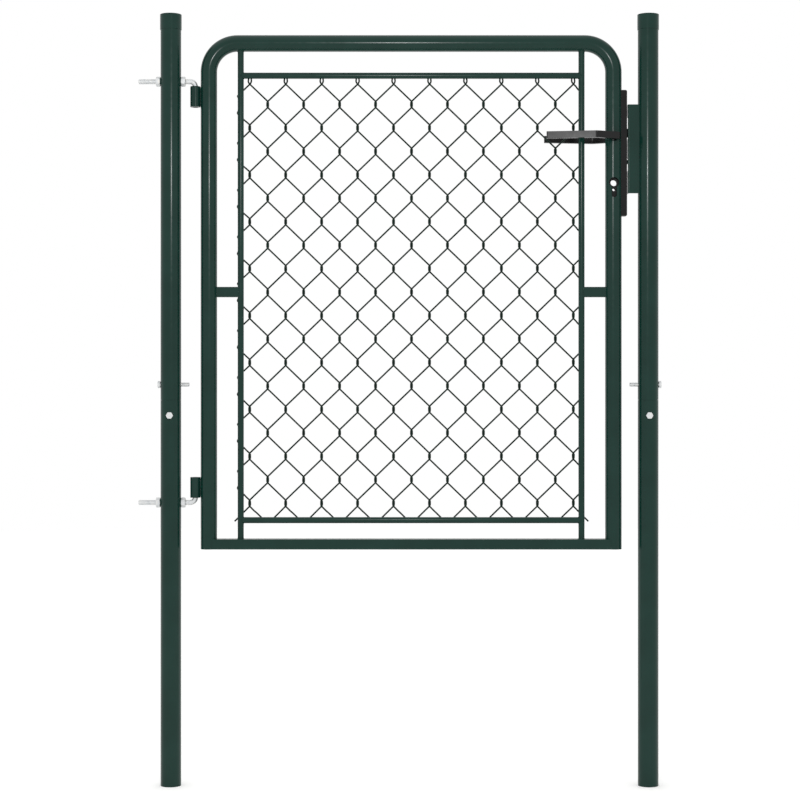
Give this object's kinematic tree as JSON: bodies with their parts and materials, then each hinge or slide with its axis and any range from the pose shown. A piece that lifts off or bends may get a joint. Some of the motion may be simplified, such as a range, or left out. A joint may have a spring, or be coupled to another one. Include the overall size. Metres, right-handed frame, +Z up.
{
  "type": "single garden gate",
  "caption": "Chain-link garden gate in a bent tube frame, hung on hook bolts between round posts, with a lever latch and a deadbolt.",
  "frame": {"origin": "middle of the bounding box's base, at the feet of the posts, in the plane of the closed leaf", "axes": "+X from the hinge post to the lock post, +Y to the back, +Z up"},
  "size_m": [1.0172, 0.0996, 1.5],
  "materials": {
    "green_coat": "dark green powder coat, satin",
    "wire_coat": "dark green plastic coat on steel wire, satin",
    "black_coat": "black powder coat, satin",
    "zinc": "bright zinc plating"
  },
  "bodies": {
    "posts": {"left_post_lower": "green_coat", "left_post_upper": "green_coat", "left_post_sleeve": "green_coat", "left_post_cap": "green_coat", "left_post_side_screw": "zinc", "left_post_front_screw": "zinc", "right_post_lower": "green_coat", "right_post_upper": "green_coat", "right_post_sleeve": "green_coat", "right_post_cap": "green_coat", "right_post_side_screw": "zinc", "right_post_front_screw": "zinc", "upper_hinge_bolt": "zinc", "upper_hinge_nut_outer": "zinc", "upper_hinge_nut_inner": "zinc", "lower_hinge_bolt": "zinc", "lower_hinge_nut_outer": "zinc", "lower_hinge_nut_inner": "zinc", "strike_plate": "green_coat"},
    "leaf": {"leaf_frame_tube": "green_coat", "leaf_bottom_rail": "green_coat", "mesh_bar_left": "green_coat", "mesh_bar_right": "green_coat", "mesh_bar_top": "green_coat", "mesh_bar_bottom": "green_coat", "leaf_strut_left": "green_coat", "leaf_strut_right": "green_coat", "upper_hinge_barrel": "green_coat", "lower_hinge_barrel": "green_coat", "lock_case": "black_coat", "lock_cover": "black_coat", "lock_faceplate": "black_coat", "faceplate_screw_bottom": "zinc", "faceplate_screw_top": "zinc", "latch_spring": "zinc", "mesh_wire_01": "wire_coat", "mesh_wire_02": "wire_coat", "mesh_wire_03": "wire_coat", "mesh_wire_04": "wire_coat", "mesh_wire_05": "wire_coat", "mesh_wire_06": "wire_coat", "mesh_wire_07": "wire_coat", "mesh_wire_08": "wire_coat", "mesh_wire_09": "wire_coat", "mesh_wire_10": "wire_coat", "mesh_wire_11": "wire_coat", "mesh_wire_12": "wire_coat", "mesh_wire_13": "wire_coat", "mesh_wire_14": "wire_coat", "mesh_wire_15": "wire_coat", "mesh_wire_16": "wire_coat", "mesh_wire_17": "wire_coat", "mesh_wire_18": "wire_coat", "mesh_wire_19": "wire_coat", "mesh_wire_20": "wire_coat"},
    "lever_set": {"front_lever": "black_coat", "back_lever": "black_coat", "lever_follower": "zinc"},
    "latch": {"latch_bolt": "black_coat"},
    "deadbolt": {"deadbolt": "black_coat"}
  },
  "joints": [
    {"name": "leaf_hinge", "type": "hinge", "parent": "posts", "child": "leaf", "pos_m": [-0.3983, 0, 0.96], "axis": [0, 0, 1], "range_deg": [-90, 90]},
    {"name": "lever_turn", "type": "hinge", "parent": "leaf", "child": "lever_set", "pos_m": [0.4154, 0, 1.2614], "axis": [0, -1, 0], "range_deg": [0, 35], "stiffness_Nm_per_rad": 1.5, "springref_deg": -17.19},
    {"name": "latch_slide", "type": "slide", "parent": "leaf", "child": "latch", "axis": [-1, 0, 0], "range_m": [0, 0.0106], "deforming": ["latch_spring"]},
    {"name": "deadbolt_slide", "type": "slide", "parent": "leaf", "child": "deadbolt", "axis": [1, 0, 0], "range_m": [0, 0.012]}
  ],
  "couplings": [
    {"joint": "latch_slide", "follows": "lever_turn", "m_per_rad": 0.0172}
  ]
}
